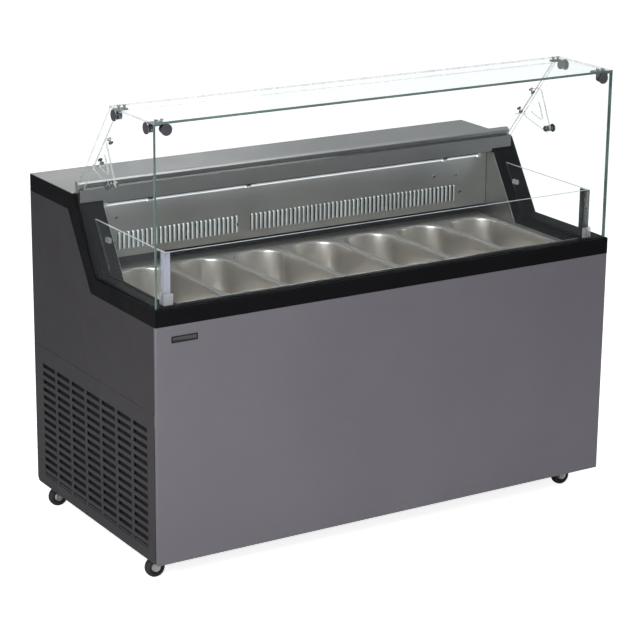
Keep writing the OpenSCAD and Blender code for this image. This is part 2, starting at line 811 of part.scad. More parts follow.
module flap_screws() {
    color([0.35, 0.36, 0.38]) on_flap() for (s = [-1, 1], d = flap_screw_s)
        translate([d, s * flap_screw_x, 0]) {
            rod_z(-flap_t, bracket_flange_t, 0, 0, screw_r);
            rod_z(bracket_flange_t, bracket_flange_t + 3, 0, 0, screw_head_r + 1.5);
            rod_z(-flap_t - screw_head_h, -flap_t, 0, 0, screw_head_r + 1.5);
        }
}

// Bolt through each side pane with a disc outside, a spacer and an inner nut
module pivot_bolts() {
    play = 0.4;
    nut_x = bracket_x - bracket_t - play;
    color([0.35, 0.36, 0.38]) both_sides() {
        rod_x(nut_x - 6, hw - 1, pivot[0], pivot[1], pivot_r);
        rod_x(nut_x - 6, nut_x, pivot[0], pivot[1], pivot_r + 4);
        rod_x(bracket_x + play, pane_x - glass_t, pivot[0], pivot[1], pivot_r + 4);
        rod_x(pane_x, pane_x + disc_t, pivot[0], pivot[1], disc_r - 3);
    }
}

// ---------- machine compartment ----------

// Hermetic shell with domed ends, on a base plate with four feet
module compressor() {
    dome_r = 88;
    dome_h = dome_r - sqrt(dome_r * dome_r - comp_r * comp_r);
    mid_z = comp_z + dome_h;
    color([0.12, 0.12, 0.13]) translate([comp[0], comp[1], 0]) {
        rod_z(mid_z, mid_z + comp_mid_h, 0, 0, comp_r);
        rod_z(mid_z + comp_mid_h / 2 - 3, mid_z + comp_mid_h / 2 + 3, 0, 0, comp_r + 4);
        intersection() {
            translate([0, 0, mid_z + dome_r - dome_h]) sphere(r = dome_r);
            rod_z(comp_z, mid_z + 1, 0, 0, comp_r);
        }
        intersection() {
            translate([0, 0, mid_z + comp_mid_h + dome_h - dome_r]) sphere(r = dome_r);
            rod_z(mid_z + comp_mid_h - 1, mid_z + comp_mid_h + dome_h, 0, 0, comp_r);
        }
        slab([-95, 95], [-45, 45], [comp_z - 3, comp_z + 4]);
        for (sx = [-1, 1], sy = [-1, 1])
            rod_z(tray_z + tray_t, comp_z - 3, sx * 80, sy * 32, 9);
        slab([comp_r - 4, comp_r + 26], [-22, 22], [mid_z + 12, mid_z + 58]);
        rod_z(mid_z + comp_mid_h, comp_stub_z, 0, 50, suction_r + 1.5);
        rod_z(mid_z + comp_mid_h, comp_stub_z, 0, -50, discharge_r + 1.5);
    }
}

module condenser_coil() {
    fins = 41;
    tube_x = [cond_x[0] + 11, cond_tube_x];
    color("silver") {
        for (k = [0 : fins - 1])
            translate([0, cond_y[0] + k / (fins - 1) * (cond_y[1] - cond_y[0]), 0])
                slab(cond_x, [-0.5, 0.5], cond_z);
        for (x = tube_x, k = [0 : cond_rows - 1])
            rod_y(cond_y[0] - 8, cond_y[1] + 8, x, cond_z[0] + (k + 0.5) * cond_row_h, 4);
        for (y = [cond_y[0] - 8, cond_y[1] + 8], k = [0 : cond_rows - 1])
            rod_x(tube_x[0] - 4, tube_x[1] + 4, y, cond_z[0] + (k + 0.5) * cond_row_h, 4);
        rod_y(cond_stub_y[0], cond_y[0] - 8, cond_tube_x, cond_row_z[1], discharge_r);
        rod_y(cond_y[1] + 8, cond_stub_y[1], cond_tube_x, cond_row_z[0], discharge_r);
    }
}

// Plate with a round opening beside the coil, and the fan motor on three struts
module condenser_shroud() {
    plate_x = cond_x[1] + 2;
    motor_x = cond_fan[0] + 18;
    color([0.2, 0.2, 0.21]) {
        difference() {
            slab([plate_x, plate_x + 2], cond_y, cond_z);
            rod_x(plate_x - 1, plate_x + 3, cond_fan[1], cond_fan[2], cond_fan_r + 6);
        }
        for (y = cond_y)
            slab([cond_x[1], plate_x], [y - 0.5, y + 0.5], cond_z);
        rod_x(motor_x, motor_x + 52, cond_fan[1], cond_fan[2], 34);
        rod_x(cond_fan[0] - 14, motor_x + 1, cond_fan[1], cond_fan[2], 4);
        translate([0, cond_fan[1], cond_fan[2]]) for (a = [0, 120, 240]) rotate([a, 0, 0]) {
            slab([motor_x + 8, motor_x + 16], [-5, 5], [0, cond_fan_r + 14]);
            slab([plate_x, motor_x + 16], [-5, 5], [cond_fan_r + 8, cond_fan_r + 14]);
        }
    }
}

module condenser_fan() {
    color([0.15, 0.15, 0.16]) translate(cond_fan) rotate([0, 90, 0])
        fan_rotor(cond_fan_r, 26, 22, 6, 4);
}

// Pipe through the given points, with a ball at each corner
module pipe(points, r) {
    for (k = [0 : len(points) - 2]) {
        a = points[k];
        d = points[k + 1] - a;
        translate(a) rotate([0, atan2(norm([d[0], d[1]]), d[2]), atan2(d[1], d[0])])
            cylinder(h = norm(d), r = r);
        if (k > 0) translate(a) sphere(r = r);
    }
}

// Suction, discharge and liquid lines between the stubs, with a filter drier on the last
module refrigerant_lines() {
    run_z = tub_z - 24;
    top_z1 = comp_stub_z + 34;
    drier_z = cond_row_z[0] + 60;
    color([0.72, 0.45, 0.3]) {
        pipe([[comp[0], comp[1] + 50, comp_stub_z], [comp[0], comp[1] + 50, run_z],
            [comp[0], evap_tube_y[1], run_z], [riser_x, evap_tube_y[1], run_z],
            [riser_x, evap_tube_y[1], evap_tube_z[2]],
            [evap_stub_x, evap_tube_y[1], evap_tube_z[2]]], suction_r);
        pipe([[comp[0], comp[1] - 50, comp_stub_z], [comp[0], comp[1] - 50, top_z1],
            [comp[0], cond_y[0] - 26, top_z1], [cond_tube_x, cond_y[0] - 26, top_z1],
            [cond_tube_x, cond_y[0] - 26, cond_row_z[1]],
            [cond_tube_x, cond_stub_y[0], cond_row_z[1]]], discharge_r);
        pipe([[cond_tube_x, cond_stub_y[1], cond_row_z[0]], [cond_tube_x, evap_tube_y[0], cond_row_z[0]],
            [riser_x, evap_tube_y[0], cond_row_z[0]], [riser_x, evap_tube_y[0], evap_tube_z[0]],
            [evap_stub_x, evap_tube_y[0], evap_tube_z[0]]], liquid_r);
        rod_z(drier_z, drier_z + 110, riser_x, evap_tube_y[0], 12);
    }
}

// Box behind the rear grille with a display face and a seat for the rocker
module control_box() {
    x = [box_x, box_x + box_size[0]];
    y = hd - 4;
    z = [box_z, box_z + box_size[2]];
    color([0.1, 0.1, 0.11]) {
        difference() {
            slab([x[0] + 0.5, x[1] - 0.5], [y - box_size[1], y], [z[0] + 0.5, z[1] - 0.5]);
            slab([switch_x - 12, switch_x + 12], [y - 14, y + 1], [switch_z - 9, switch_z + 9]);
        }
        slab([x[0] + 12, x[0] + 70], [y, y + 2], [z[0] + 14, z[1] - 14]);
        rod_x(switch_x - 13, switch_x + 13, switch_y, switch_z, switch_pin_r);
        slab([x[0] - 8, x[1] + 8], [y - 8, hd - skin_t], [z[0] - 8, z[0]]);
        slab([x[0] - 8, x[1] + 8], [y - 8, hd - skin_t], [z[1], z[1] + 3]);
    }
}

module power_switch() {
    half = [10.5, 7.5];
    color([0.1, 0.4, 0.15]) translate([0, switch_y, switch_z]) rotate([-switch_tilt, 0, 0]) difference() {
        side_extrude(switch_x - half[0], switch_x + half[0], [
            [-3.5, -4], [-3.5, 4], [3.4, half[1]], [2.2, 0], [3.4, -half[1]]]);
        rod_x(switch_x - half[0] - 1, switch_x + half[0] + 1, 0, 0, switch_pin_r + pin_fit);
    }
}

// Three-pin inlet for a detachable cord
module mains_inlet() {
    x = [inlet_x, inlet_x + inlet_size[0]];
    z = [inlet_z, inlet_z + inlet_size[2]];
    mid = [(x[0] + x[1]) / 2, (z[0] + z[1]) / 2];
    color([0.1, 0.1, 0.11]) {
        difference() {
            slab([x[0] + 0.2, x[1] - 0.2], [hd - inlet_size[1], hd - slack], [z[0] + 0.2, z[1] - 0.2]);
            slab([x[0] + 2.5, x[1] - 2.5], [hd - 16, hd], [z[0] + 2.5, z[1] - 2.5]);
        }
        for (p = [[-7, -2.5], [0, 2.5], [7, -2.5]])
            slab([mid[0] + p[0] - 1, mid[0] + p[0] + 1], [hd - 17, hd - 5],
                [mid[1] + p[1] - 2, mid[1] + p[1] + 2]);
        slab([x[0] - 6, x[1] + 6], [hd - skin_t - 2, hd - skin_t], [z[0] - 4, z[0] + 0.2]);
        slab([x[0] - 6, x[1] + 6], [hd - skin_t - 2, hd - skin_t], [z[1] - 0.2, z[1] + 4]);
    }
}

// ---------- casters ----------

// Fork around its swivel axis: plate, pin, two legs that trail towards -X, and the axle
module caster_fork() {
    plate_t = 3;
    color([0.55, 0.55, 0.56]) {
        rod_z(fork_top - plate_t, fork_top, 0, 0, 24);
        rod_z(fork_top - 1, tray_z + tray_t + 3, 0, 0, swivel_pin_r);
        rod_z(fork_top - plate_t - 5, fork_top - plate_t, 0, 0, 15);
        for (s = [-1, 1]) translate([0, s * (leg_gap + leg_t / 2) + leg_t / 2, 0]) rotate([90, 0, 0]) {
            linear_extrude(leg_t) polygon([[-19, fork_top - 1], [18, fork_top - 1], [18, fork_top - 16],
                [7 - trail, wheel_r - 2], [-8 - trail, wheel_r - 2], [-23, fork_top - 30]]);
            translate([-trail, wheel_r, 0]) cylinder(h = leg_t, r = 9);
        }
        rod_y(-leg_gap - leg_t - 2, leg_gap + leg_t + 2, -trail, wheel_r, axle_r);
    }
}

module caster_wheel() {
    color([0.1, 0.1, 0.1]) translate([-trail, 0, wheel_r]) rotate([90, 0, 0]) difference() {
        union() {
            cylinder(h = wheel_w, r = wheel_r, center = true);
            cylinder(h = wheel_w + 2, r = 10, center = true);
        }
        cylinder(h = wheel_w + 3, r = axle_r + pin_fit, center = true);
        for (s = [-1, 1]) translate([0, 0, s * wheel_w / 2]) difference() {
            cylinder(h = 6, r = wheel_r - 6, center = true);
            cylinder(h = 7, r = 10, center = true);
        }
    }
}

module caster_fork_fl() translate([-caster_x, caster_y[0], 0]) caster_fork();

module caster_fork_fr() translate([caster_x, caster_y[0], 0]) caster_fork();

module caster_fork_rl() translate([-caster_x, caster_y[1], 0]) caster_fork();

module caster_fork_rr() translate([caster_x, caster_y[1], 0]) caster_fork();

module caster_wheel_fl() translate([-caster_x, caster_y[0], 0]) caster_wheel();

module caster_wheel_fr() translate([caster_x, caster_y[0], 0]) caster_wheel();

module caster_wheel_rl() translate([-caster_x, caster_y[1], 0]) caster_wheel();

module caster_wheel_rr() translate([caster_x, caster_y[1], 0]) caster_wheel();

base_frame();
frame_uprights();
front_panel();
left_side_panel();
left_louvre_panel();
right_side_panel();
right_louvre_panel();
rear_panel();
rear_grille();
trim_front();
trim_left();
trim_right();
insulation();
well_floor();
well_front_wall();
well_rear_wall();
well_end_left();
well_end_right();
duct_top();
pan_rack();
air_panel();
worktop();
fascia();
led_light();
evaporator_coil();
evaporator_fan_shroud();
glass_left();
glass_right();
glass_front();
glass_top();
glass_clamps();
screws();
shield_front();
shield_sides();
shield_fittings();
pivot_bolts();
compressor();
condenser_coil();
condenser_shroud();
refrigerant_lines();
control_box();
mains_inlet();
badge();
rear_flap();
flap_brackets();
flap_screws();
pan_1();
pan_2();
pan_3();
pan_4();
pan_5();
pan_6();
pan_7();
caster_fork_fl();
caster_fork_fr();
caster_fork_rl();
caster_fork_rr();
caster_wheel_fl();
caster_wheel_fr();
caster_wheel_rl();
caster_wheel_rr();
condenser_fan();
evaporator_fan_left();
evaporator_fan_right();
power_switch();
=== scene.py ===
"""Ice cream dipping cabinet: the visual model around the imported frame.

Metres, in the frame of the CAD model: +X right, +Y rear, +Z up, floor at z = 0.
"""

import math

import bmesh
import bpy
from mathutils import Matrix, Vector


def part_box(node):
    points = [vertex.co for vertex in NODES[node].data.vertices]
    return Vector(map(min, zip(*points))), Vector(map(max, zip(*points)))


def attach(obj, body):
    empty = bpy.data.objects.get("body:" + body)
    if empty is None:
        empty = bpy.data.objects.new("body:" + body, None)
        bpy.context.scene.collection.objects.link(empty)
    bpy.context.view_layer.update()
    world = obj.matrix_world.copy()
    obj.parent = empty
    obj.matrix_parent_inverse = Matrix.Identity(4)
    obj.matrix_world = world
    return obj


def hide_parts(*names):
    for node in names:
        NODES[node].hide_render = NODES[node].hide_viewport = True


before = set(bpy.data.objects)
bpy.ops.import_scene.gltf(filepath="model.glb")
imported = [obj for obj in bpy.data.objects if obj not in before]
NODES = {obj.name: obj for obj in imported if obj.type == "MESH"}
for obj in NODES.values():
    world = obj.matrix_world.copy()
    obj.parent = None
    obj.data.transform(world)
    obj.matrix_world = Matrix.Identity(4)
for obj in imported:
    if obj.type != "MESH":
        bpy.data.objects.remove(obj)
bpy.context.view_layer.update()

MM = 0.001
CORNERS = ("fl", "fr", "rl", "rr")
PANS = range(1, 8)


# ---------- camera ----------

def make_camera():
    """Long lens in front of the left corner, above the glass case. Angles are in radians."""
    yaw, pitch, roll = 0.5597, 0.2982, 0.0111
    data = bpy.data.cameras.new("camera")
    data.sensor_width = 36.0
    data.lens = 127.6
    data.clip_end = 60.0
    camera = bpy.data.objects.new("camera", data)
    bpy.context.scene.collection.objects.link(camera)
    camera.location = (-2.998, -4.774, 2.219)
    look = Vector((math.sin(yaw) * math.cos(pitch), math.cos(yaw) * math.cos(pitch), -math.sin(pitch)))
    turn = look.to_track_quat("-Z", "Y").to_matrix().to_4x4() @ Matrix.Rotation(roll, 4, "Z")
    camera.rotation_euler = turn.to_euler()
    bpy.context.scene.camera = camera


make_camera()


# ---------- mesh helpers ----------

def new_piece(name, bm, materials, body="cabinet", smooth=True):
    """Turns a bmesh into a piece that rides on a body, with its faces turned outwards."""
    sharp_angle = math.radians(35)
    bmesh.ops.recalc_face_normals(bm, faces=bm.faces)
    mesh = bpy.data.meshes.new(name)
    bm.normal_update()
    bm.to_mesh(mesh)
    bm.free()
    piece = bpy.data.objects.new(name, mesh)
    bpy.context.scene.collection.objects.link(piece)
    for material in materials:
        mesh.materials.append(material)
    if smooth:
        mesh.shade_smooth()
        mesh.set_sharp_from_angle(angle=sharp_angle)
    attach(piece, body)
    return piece


def add_box(bm, low, high, material_index=0):
    """Axis-aligned box between two corners."""
    verts = [bm.verts.new((x, y, z)) for x in (low[0], high[0]) for y in (low[1], high[1])
             for z in (low[2], high[2])]
    for quad in ((0, 1, 3, 2), (4, 6, 7, 5), (0, 4, 5, 1), (2, 3, 7, 6), (0, 2, 6, 4), (1, 5, 7, 3)):
        bm.faces.new([verts[i] for i in quad]).material_index = material_index


def add_loops(bm, loops, close_first=True, close_last=True, material_index=0):
    """Skin over a list of closed rings of points, with caps."""
    rings = [[bm.verts.new(point) for point in loop] for loop in loops]
    count = len(rings[0])
    for a, b in zip(rings, rings[1:]):
        for k in range(count):
            face = bm.faces.new((a[k], a[(k + 1) % count], b[(k + 1) % count], b[k]))
            face.material_index = material_index
    if close_first:
        bm.faces.new(list(reversed(rings[0]))).material_index = material_index
    if close_last:
        bm.faces.new(rings[-1]).material_index = material_index


def add_turned(bm, section, centre, segments=64):
    """Solid of a closed section turned about the Y axis. section is a list of (radius, height along Y)."""
    rings = []
    for radius, height in section + section[:1]:
        ring = []
        for k in range(segments):
            a = 2 * math.pi * k / segments
            ring.append(Vector((radius * math.sin(a), height, radius * math.cos(a))) + centre)
        rings.append(ring)
    add_loops(bm, rings, close_first=False, close_last=False)
    bmesh.ops.remove_doubles(bm, verts=bm.verts, dist=0.001 * MM)


def rounded_rectangle(half_x, half_y, radius, steps):
    """Points of a rectangle with round corners, anticlockwise, with the given steps in each corner."""
    points = []
    for corner, (sx, sy) in enumerate(((1, 1), (-1, 1), (-1, -1), (1, -1))):
        cx, cy = sx * (half_x - radius), sy * (half_y - radius)
        for k in range(steps + 1):
            a = math.radians(90 * corner + 90 * k / steps)
            points.append((cx + radius * math.cos(a), cy + radius * math.sin(a)))
    return points


def add_plate(bm, centre, half_x, half_z, profile, outward, radius):
    """Rounded plate in the XZ plane. profile is a list of (inset, height), and its last ring is the face."""
    corner_steps, least_radius = 5, 0.2 * MM
    rings = []
    for inset, height in profile:
        corner = max(radius - inset, least_radius)
        ring = rounded_rectangle(half_x - inset, half_z - inset, corner, corner_steps)
        rings.append([Vector((centre.x + x, centre.y + outward * height, centre.z + z)) for x, z in ring])
    add_loops(bm, rings)


# ---------- node helpers for materials ----------

def scaled(color, k):
    """Tuple with each of its numbers multiplied by k."""
    return tuple(c * k for c in color)


def opaque(tone):
    """RGBA of a grey number or of a colour."""
    return (tone if isinstance(tone, tuple) else (tone,) * 3) + (1,)


class Tree:
    """Short way to build a material's nodes. Noise scales are per metre."""

    def __init__(self, name):
        self.material = bpy.data.materials.new(name)
        self.material.use_nodes = True
        self.nodes = self.material.node_tree.nodes
        self.shader = self.nodes["Principled BSDF"]
        self.output = self.nodes["Material Output"]
        self.position = self.nodes.new("ShaderNodeTexCoord").outputs["Object"]

    def link(self, a, b):
        self.material.node_tree.links.new(a, b)

    def feed(self, socket, value):
        """Puts a number, a colour or another node's output into a socket."""
        if isinstance(value, tuple):
            socket.default_value = opaque(value)
        elif isinstance(value, (int, float)):
            socket.default_value = value
        else:
            self.link(value, socket)

    def mapping(self, scale, rotation=(0, 0, 0)):
        node = self.nodes.new("ShaderNodeMapping")
        node.inputs["Scale"].default_value = scale
        node.inputs["Rotation"].default_value = rotation
        self.link(self.position, node.inputs["Vector"])
        return node.outputs["Vector"]

    def noise(self, scale, detail=3.0, roughness=0.5, vector=None, distortion=0.0):
        node = self.nodes.new("ShaderNodeTexNoise")
        node.inputs["Scale"].default_value = scale
        node.inputs["Detail"].default_value = detail
        node.inputs["Roughness"].default_value = roughness
        node.inputs["Distortion"].default_value = distortion
        self.link(vector or self.position, node.inputs["Vector"])
        return node.outputs["Fac"]

    def cells(self, scale):
        """Distance from the middle of the nearest cell."""
        node = self.nodes.new("ShaderNodeTexVoronoi")
        node.inputs["Scale"].default_value = scale
        self.link(self.position, node.inputs["Vector"])
        return node.outputs["Distance"]

    def ramp(self, factor, low, high, from_value=0.35, to_value=0.65):
        """Factor spread between two greys or two colours."""
        node = self.nodes.new("ShaderNodeValToRGB")
        for stop, position, tone in zip(node.color_ramp.elements, (from_value, to_value), (low, high)):
            stop.position = position
            stop.color = opaque(tone)
        self.link(factor, node.inputs["Fac"])
        return node.outputs["Color"]

    def math(self, operation, a, b):
        node = self.nodes.new("ShaderNodeMath")
        node.operation = operation
        for socket, value in zip(node.inputs, (a, b)):
            self.feed(socket, value)
        return node.outputs["Value"]

    def mix(self, factor, a, b):
        """Mix of two colours."""
        node = self.nodes.new("ShaderNodeMix")
        node.data_type = "RGBA"
        sockets = {socket.name: socket for socket in node.inputs if socket.enabled}
        for name, value in (("Factor", factor), ("A", a), ("B", b)):
            self.feed(sockets[name], value)
        return [socket for socket in node.outputs if socket.enabled][0]

    def bump(self, height, strength, distance, normal=None):
        node = self.nodes.new("ShaderNodeBump")
        node.inputs["Strength"].default_value = strength
        node.inputs["Distance"].default_value = distance
        self.link(height, node.inputs["Height"])
        if normal:
            self.link(normal, node.inputs["Normal"])
        return node.outputs["Normal"]

    def blend_shaders(self, share, first, second):
        """Surface that is the second shader by the given share, and the first one otherwise."""
        node = self.nodes.new("ShaderNodeMixShader")
        self.link(share, node.inputs["Fac"])
        self.link(first, node.inputs[1])
        self.link(second, node.inputs[2])
        self.link(node.outputs["Shader"], self.output.inputs["Surface"])

    def finish(self, color, roughness, normal=None, **others):
        """Sets the principled shader's inputs; a name's underscores stand for spaces."""
        self.feed(self.shader.inputs["Base Color"], color)
        self.feed(self.shader.inputs["Roughness"], roughness)
        if normal:
            self.link(normal, self.shader.inputs["Normal"])
        for name, value in others.items():
            self.feed(self.shader.inputs[name.replace("_", " ")], value)
        return self.material


# ---------- materials ----------

def paint(name, color, roughness, coat=0.15, specular=0.35):
    """Satin sheet metal paint: fine orange peel, faint cloudiness and light specks."""
    t = Tree(name)
    cloud = t.noise(2.2, 4, 0.6)
    fine = t.noise(950, 2, 0.5)
    peel = t.noise(330, 2, 0.5)
    smudge = t.noise(9, 5, 0.65, distortion=0.6)
    tone = t.mix(t.ramp(cloud, 0.0, 1.0), scaled(color, 0.93), scaled(color, 1.06))
    tone = t.mix(t.ramp(fine, 0.0, 0.35, 0.40, 0.70), tone, scaled(color, 1.35))
    rough = t.ramp(smudge, roughness - 0.05, roughness + 0.07, 0.3, 0.7)
    normal = t.bump(peel, 0.05, 0.4 * MM)
    normal = t.bump(fine, 0.03, 0.2 * MM, normal)
    return t.finish(tone, rough, normal, Coat_Weight=coat, Coat_Roughness=0.28, Specular_IOR_Level=specular)


def moulded(name, color, roughness, grain, depth, specular=0.5):
    """Grained plastic moulding. grain is the number of cells in a metre, depth their relief."""
    t = Tree(name)
    cells = t.cells(grain)
    cloud = t.noise(14, 4, 0.6)
    tone = t.mix(t.ramp(cloud, 0.0, 1.0), scaled(color, 0.85), scaled(color, 1.2))
    rough = t.ramp(cloud, roughness - 0.05, roughness + 0.08)
    return t.finish(tone, rough, t.bump(cells, depth, 0.4 * MM), Specular_IOR_Level=specular)


def brushed(name, color, roughness, along, contrast, fine=1.0, metallic=1.0):
    """Brushed or satin metal with grain lines along one axis, light handling marks and small scratches."""
    t = Tree(name)
    long, cross = 6.0 * fine, 900.0 * fine
    scratch_scale, scratch_turn = 0.11, 0.02
    scale = {"X": (long, cross, cross), "Y": (cross, long, cross), "Z": (cross, cross, long)}[along]
    lines = t.noise(1.0, 3, 0.7, t.mapping(scale))
    cloud = t.noise(5, 2, 0.5)
    scratch = t.noise(1.0, 1, 0.4, t.mapping(scaled(scale, scratch_scale), (0, 0, scratch_turn)))
    tone = t.mix(t.ramp(lines, 0.0, 1.0, 0.3, 0.7), scaled(color, 1 - contrast), scaled(color, 1 + contrast))
    tone = t.mix(t.ramp(cloud, 0.0, 0.5, 0.4, 0.75), tone, scaled(color, 0.93))
    rough = t.mix(t.ramp(cloud, 0.0, 1.0), (roughness - 0.03,) * 3, (roughness + 0.05,) * 3)
    rough = t.mix(t.ramp(scratch, 0.0, 0.4, 0.55, 0.75), rough, (roughness + 0.12,) * 3)
    return t.finish(tone, rough, t.bump(lines, 0.10, 0.2 * MM), Metallic=metallic)


def clear_sheet(name, tint, head_on, grazing):
    """Flat clear sheet: what is behind shows unbent, and the share that mirrors grows at grazing angles.

    Part of that share is a true mirror, and the rest is a painted reflection, a white glow that stands for
    the studio.
    """
    painted_reflection_share, painted_reflection_white = 0.3, (0.90, 1.0, 0.99)
    grazing_power = 5.0
    t = Tree(name)
    t.nodes.remove(t.shader)
    through = t.nodes.new("ShaderNodeBsdfTransparent")
    through.inputs["Color"].default_value = opaque(tint)
    mirror = t.nodes.new("ShaderNodeBsdfGlossy")
    mirror.inputs["Roughness"].default_value = 0.02
    mirror.inputs["Color"].default_value = opaque(1 - painted_reflection_share)
    # Painted reflection: a white glow standing for the mirrored studio.
    studio = t.nodes.new("ShaderNodeEmission")
    studio.inputs["Color"].default_value = opaque(painted_reflection_white)
    studio.inputs["Strength"].default_value = painted_reflection_share
    surface = t.nodes.new("ShaderNodeAddShader")
    t.link(mirror.outputs["BSDF"], surface.inputs[0])
    t.link(studio.outputs["Emission"], surface.inputs[1])
    facing = t.nodes.new("ShaderNodeLayerWeight")
    facing.inputs["Blend"].default_value = 0.5
    rise = t.math("POWER", facing.outputs["Facing"], grazing_power)
    share = t.math("ADD", t.math("MULTIPLY", rise, grazing), head_on)
    t.blend_shaders(share, through.outputs["BSDF"], surface.outputs["Shader"])
    return t.material


def sheet_edge(name, color, roughness, glow=0.0):
    """Ground edge of a clear sheet. glow is painted light: it stands for the light that runs inside the sheet
    and comes out at the edge.
    """
    t = Tree(name)
    grind = t.noise(420, 3, 0.6)
    band = t.noise(11, 3, 0.5)
    tone = t.mix(t.ramp(band, 0.0, 1.0), scaled(color, 0.8), scaled(color, 1.15))
    rough = t.ramp(grind, roughness, roughness + 0.12)
    normal = t.bump(grind, 0.1, 0.2 * MM)
    return t.finish(tone, rough, normal, Emission_Color=color, Emission_Strength=glow)


def clear_edge(name, color, clear, glow=0.0):
    """Half-clear edge or small block of polished plastic. clear is the share that lets light through, and
    glow is painted light on a part that is no lamp.
    """
    clear_spread = 0.12
    t = Tree(name)
    streak = t.noise(1.0, 3, 0.6, t.mapping((70, 70, 8)))
    tone = t.mix(t.ramp(streak, 0.0, 1.0, 0.3, 0.7), scaled(color, 0.85), scaled(color, 1.15))
    normal = t.bump(streak, 0.08, 0.3 * MM)
    t.finish(tone, 0.12, normal, Emission_Color=color, Emission_Strength=glow)
    through = t.nodes.new("ShaderNodeBsdfTransparent")
    share = t.ramp(streak, clear - clear_spread, clear + clear_spread, 0.3, 0.7)
    t.blend_shaders(share, t.shader.outputs["BSDF"], through.outputs["BSDF"])
    return t.material


def lamp_lens(name, color, seen, given):
    """Opal lens: gives more light to the well than the eye reads off it."""
    t = Tree(name)
    ripple = t.noise(1.0, 2, 0.5, t.mapping((14, 400, 400)))
    path = t.nodes.new("ShaderNodeLightPath")
    eye = t.math("MULTIPLY", path.outputs["Is Camera Ray"], seen - given)
    tone = t.mix(t.ramp(ripple, 0.0, 1.0), scaled(color, 0.94), color)
    strength = t.math("ADD", eye, given)
    return t.finish(scaled(color, 0.1), 0.4, Emission_Color=tone, Emission_Strength=strength)


def rubber(name, color):
    """Matt rubber with some dust on it."""
    t = Tree(name)
    dust = t.noise(60, 4, 0.7)
    tone = t.mix(t.ramp(dust, 0.0, 0.6, 0.5, 0.8), color, scaled(color, 3.0))
    return t.finish(tone, t.ramp(dust, 0.55, 0.8), t.bump(t.noise(500, 2), 0.15, 0.3 * MM))


def foam_block(name, color):
    """Open-cell foam."""
    t = Tree(name)
    cells = t.cells(450)
    tone = t.mix(t.ramp(cells, 0.0, 1.0, 0.1, 0.6), scaled(color, 0.8), color)
    return t.finish(tone, 0.9, t.bump(cells, 0.4, 1 * MM))


def floor_pale(name):
    """Pale floor that looks white to the camera and still takes soft shadows."""
    seen_glow = 0.85
    t = Tree(name)
    tone = t.ramp(t.noise(3, 3, 0.5), 0.86, 0.90)
    relief = t.bump(t.noise(90, 3), 0.05, 1 * MM)
    path = t.nodes.new("ShaderNodeLightPath")
    glow = t.math("MULTIPLY", path.outputs["Is Camera Ray"], seen_glow)
    return t.finish(tone, 0.75, relief, Emission_Color=(1.0, 1.0, 1.0), Emission_Strength=glow)


